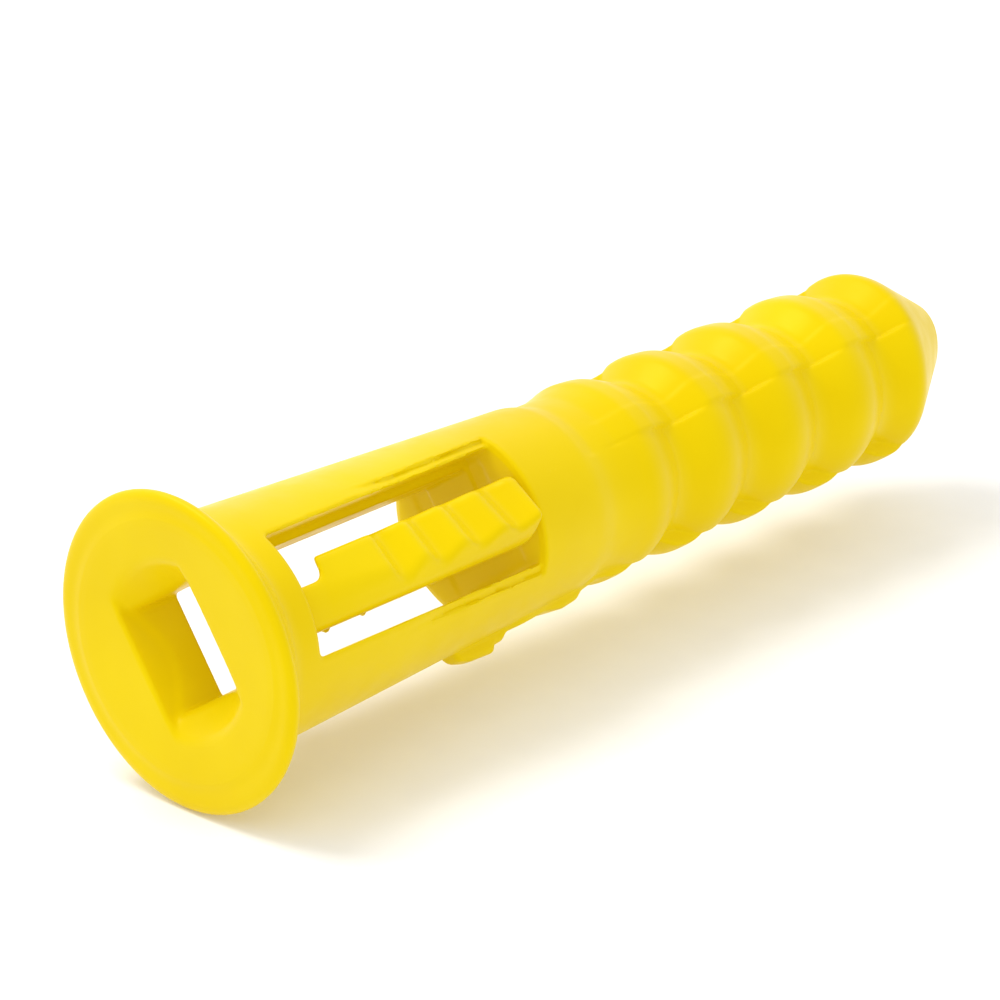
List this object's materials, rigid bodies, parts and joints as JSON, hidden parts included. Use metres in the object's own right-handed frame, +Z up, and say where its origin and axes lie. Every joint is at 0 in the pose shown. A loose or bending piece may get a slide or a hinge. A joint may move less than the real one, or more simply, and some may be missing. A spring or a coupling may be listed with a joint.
{
  "type": "wall plug",
  "caption": "Flanged expansion wall plug with a square screw socket, serrated locking wings in side windows and ribbed legs that a screw spreads.",
  "frame": {"origin": "centre of the flange's bearing face, where the plug's axis meets the wall's surface", "axes": "+Y along the plug's axis into the wall, +Z up, +X to the side"},
  "size_m": [0.0069, 0.024, 0.007],
  "materials": {
    "yellow_plastic": "semi-gloss moulded plastic"
  },
  "bodies": {
    "body": {"plug_body": "yellow_plastic"},
    "locking_wing_front": {"locking_wing_front": "yellow_plastic"},
    "locking_wing_back": {"locking_wing_back": "yellow_plastic"},
    "expansion_leg_1": {"expansion_leg_1": "yellow_plastic"},
    "expansion_leg_2": {"expansion_leg_2": "yellow_plastic"},
    "expansion_leg_3": {"expansion_leg_3": "yellow_plastic"},
    "expansion_leg_4": {"expansion_leg_4": "yellow_plastic"}
  },
  "joints": [
    {"name": "locking_wing_front_flex", "type": "hinge", "parent": "body", "child": "locking_wing_front", "pos_m": [0.0017, 0.00119, 0.0012], "axis": [0.5759, 0, -0.8175], "range_deg": [-4, 5], "stiffness_Nm_per_rad": 0.002},
    {"name": "locking_wing_back_flex", "type": "hinge", "parent": "body", "child": "locking_wing_back", "pos_m": [-0.0017, 0.00804, -0.0012], "axis": [0.5759, 0, -0.8175], "range_deg": [-4, 5], "stiffness_Nm_per_rad": 0.002},
    {"name": "expansion_leg_1_flex", "type": "hinge", "parent": "body", "child": "expansion_leg_1", "pos_m": [0.00003, 0.00901, 0.00208], "axis": [0.9999, 0, -0.0147], "range_deg": [0, 5], "stiffness_Nm_per_rad": 0.005},
    {"name": "expansion_leg_2_flex", "type": "hinge", "parent": "body", "child": "expansion_leg_2", "pos_m": [-0.00208, 0.00901, 0.00003], "axis": [0.0147, 0, 0.9999], "range_deg": [0, 5], "stiffness_Nm_per_rad": 0.005},
    {"name": "expansion_leg_3_flex", "type": "hinge", "parent": "body", "child": "expansion_leg_3", "pos_m": [-0.00003, 0.00901, -0.00208], "axis": [-0.9999, 0, 0.0147], "range_deg": [0, 5], "stiffness_Nm_per_rad": 0.005},
    {"name": "expansion_leg_4_flex", "type": "hinge", "parent": "body", "child": "expansion_leg_4", "pos_m": [0.00208, 0.00901, -0.00003], "axis": [-0.0147, 0, -0.9999], "range_deg": [0, 5], "stiffness_Nm_per_rad": 0.005}
  ],
  "couplings": [
    {"joint": "expansion_leg_2_flex", "follows": "expansion_leg_1_flex", "ratio": 1},
    {"joint": "expansion_leg_3_flex", "follows": "expansion_leg_1_flex", "ratio": 1},
    {"joint": "expansion_leg_4_flex", "follows": "expansion_leg_1_flex", "ratio": 1}
  ]
}
